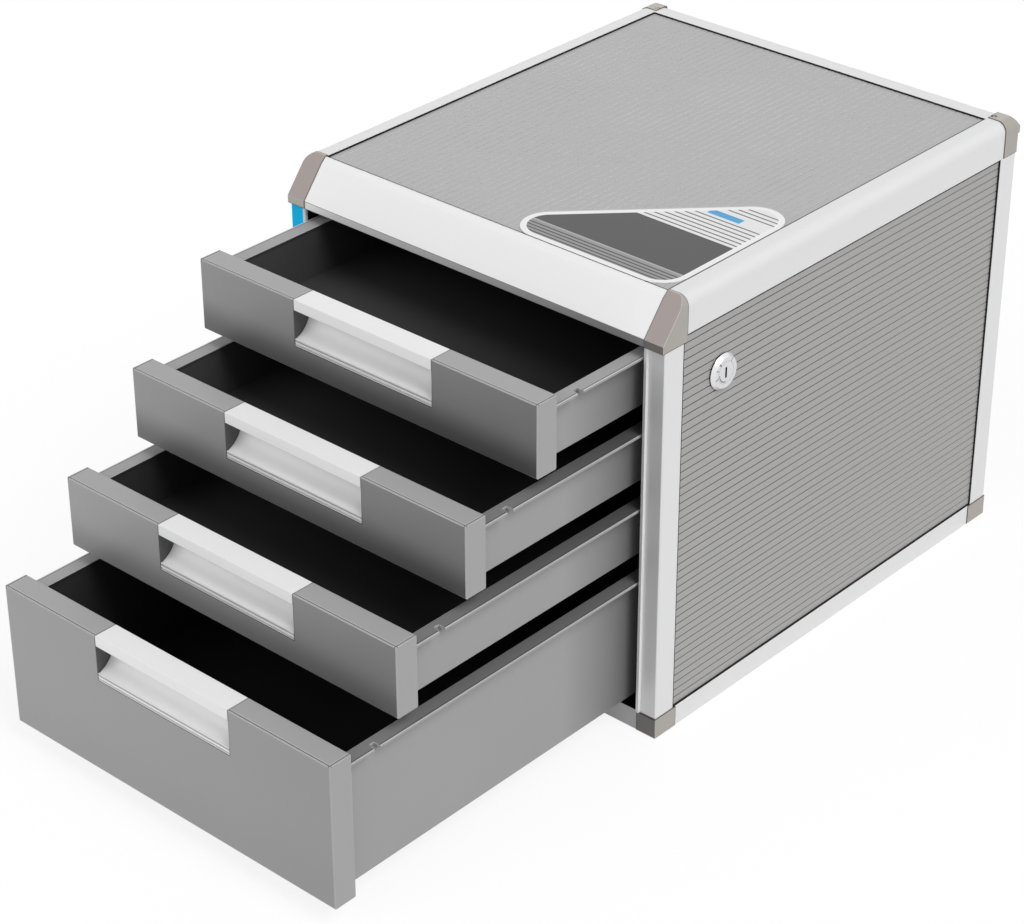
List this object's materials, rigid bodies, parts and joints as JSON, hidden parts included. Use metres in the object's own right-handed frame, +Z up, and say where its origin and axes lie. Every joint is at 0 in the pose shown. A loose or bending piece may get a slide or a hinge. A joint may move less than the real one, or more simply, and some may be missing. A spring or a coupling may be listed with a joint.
{
  "type": "desktop drawer cabinet",
  "caption": "Desktop drawer cabinet: aluminium frame with plastic corners, ribbed panels, shallow drawers above a deep drawer, recessed white handles and a side key lock.",
  "frame": {"origin": "centre of the cabinet's footprint, on the surface that it stands on", "axes": "+X to the right as seen from the front, +Y from the drawer fronts to the back, +Z up"},
  "size_m": [0.3026, 0.6127, 0.2944],
  "materials": {
    "frame_profile": "satin anodised",
    "sloped_rail": "satin",
    "top_rail": "satin anodised",
    "corner_plastic": "satin",
    "ribbed_panel": "satin",
    "bottom_board": "matte",
    "seal_rubber": "matte",
    "runner_plastic": "matte",
    "plated_steel": "zinc plated",
    "lock_chrome": "polished",
    "drawer_tray": "satin",
    "drawer_front": "satin",
    "handle_white": "semi gloss",
    "top_label": "printed film",
    "post_label": "printed film"
  },
  "bodies": {
    "frame": {"bottom_rail_front": "frame_profile", "bottom_rail_back": "frame_profile", "bottom_rail_left": "frame_profile", "bottom_rail_right": "frame_profile", "post_front_left": "frame_profile", "post_front_right": "frame_profile", "post_back_left": "frame_profile", "post_back_right": "frame_profile", "top_rail_front": "sloped_rail", "top_rail_back": "top_rail", "top_rail_left": "top_rail", "top_rail_right": "top_rail", "cap_front_left": "corner_plastic", "cap_front_right": "corner_plastic", "cap_back_left": "corner_plastic", "cap_back_right": "corner_plastic", "foot_front_left": "corner_plastic", "foot_front_right": "corner_plastic", "foot_back_left": "corner_plastic", "foot_back_right": "corner_plastic", "panel_top": "ribbed_panel", "panel_left": "ribbed_panel", "panel_right": "ribbed_panel", "panel_back": "ribbed_panel", "panel_bottom": "bottom_board", "bottom_screws": "plated_steel", "seal_top": "seal_rubber", "seal_left": "seal_rubber", "seal_right": "seal_rubber", "seal_back": "seal_rubber", "runner_left": "runner_plastic", "runner_right": "runner_plastic", "runner_screws": "plated_steel", "lock_barrel": "lock_chrome", "lock_nut": "plated_steel", "lock_bar_guides": "runner_plastic", "label_top": "top_label", "label_post": "post_label"},
    "drawer_1": {"drawer_1_tray": "drawer_tray", "drawer_1_front": "drawer_front", "drawer_1_handle": "handle_white", "drawer_1_screws": "plated_steel"},
    "drawer_2": {"drawer_2_tray": "drawer_tray", "drawer_2_front": "drawer_front", "drawer_2_handle": "handle_white", "drawer_2_screws": "plated_steel"},
    "drawer_3": {"drawer_3_tray": "drawer_tray", "drawer_3_front": "drawer_front", "drawer_3_handle": "handle_white", "drawer_3_screws": "plated_steel"},
    "drawer_4": {"drawer_4_tray": "drawer_tray", "drawer_4_front": "drawer_front", "drawer_4_handle": "handle_white", "drawer_4_screws": "plated_steel"},
    "lock_key": {"lock_plug": "lock_chrome", "lock_crank": "plated_steel", "lock_crank_screw": "plated_steel"},
    "lock_bar": {"lock_bar": "plated_steel"}
  },
  "joints": [
    {"name": "drawer_1_slide", "type": "slide", "parent": "frame", "child": "drawer_1", "axis": [0, -1, 0], "range_m": [-0.0913, 0.1837]},
    {"name": "drawer_2_slide", "type": "slide", "parent": "frame", "child": "drawer_2", "axis": [0, -1, 0], "range_m": [-0.14988, 0.12512]},
    {"name": "drawer_3_slide", "type": "slide", "parent": "frame", "child": "drawer_3", "axis": [0, -1, 0], "range_m": [-0.2057, 0.0693]},
    {"name": "drawer_4_slide", "type": "slide", "parent": "frame", "child": "drawer_4", "axis": [0, -1, 0], "range_m": [-0.2585, 0.0165]},
    {"name": "lock_turn", "type": "hinge", "parent": "frame", "child": "lock_key", "pos_m": [0.149, -0.122, 0.2323], "axis": [1, 0, 0], "range_deg": [-90, 0]},
    {"name": "lock_bar_lift", "type": "slide", "parent": "frame", "child": "lock_bar", "axis": [0, 0, 1], "range_m": [0, 0.00848]}
  ],
  "couplings": [
    {"joint": "lock_turn", "follows": "lock_bar_lift", "rad_per_m": -185.12}
  ]
}
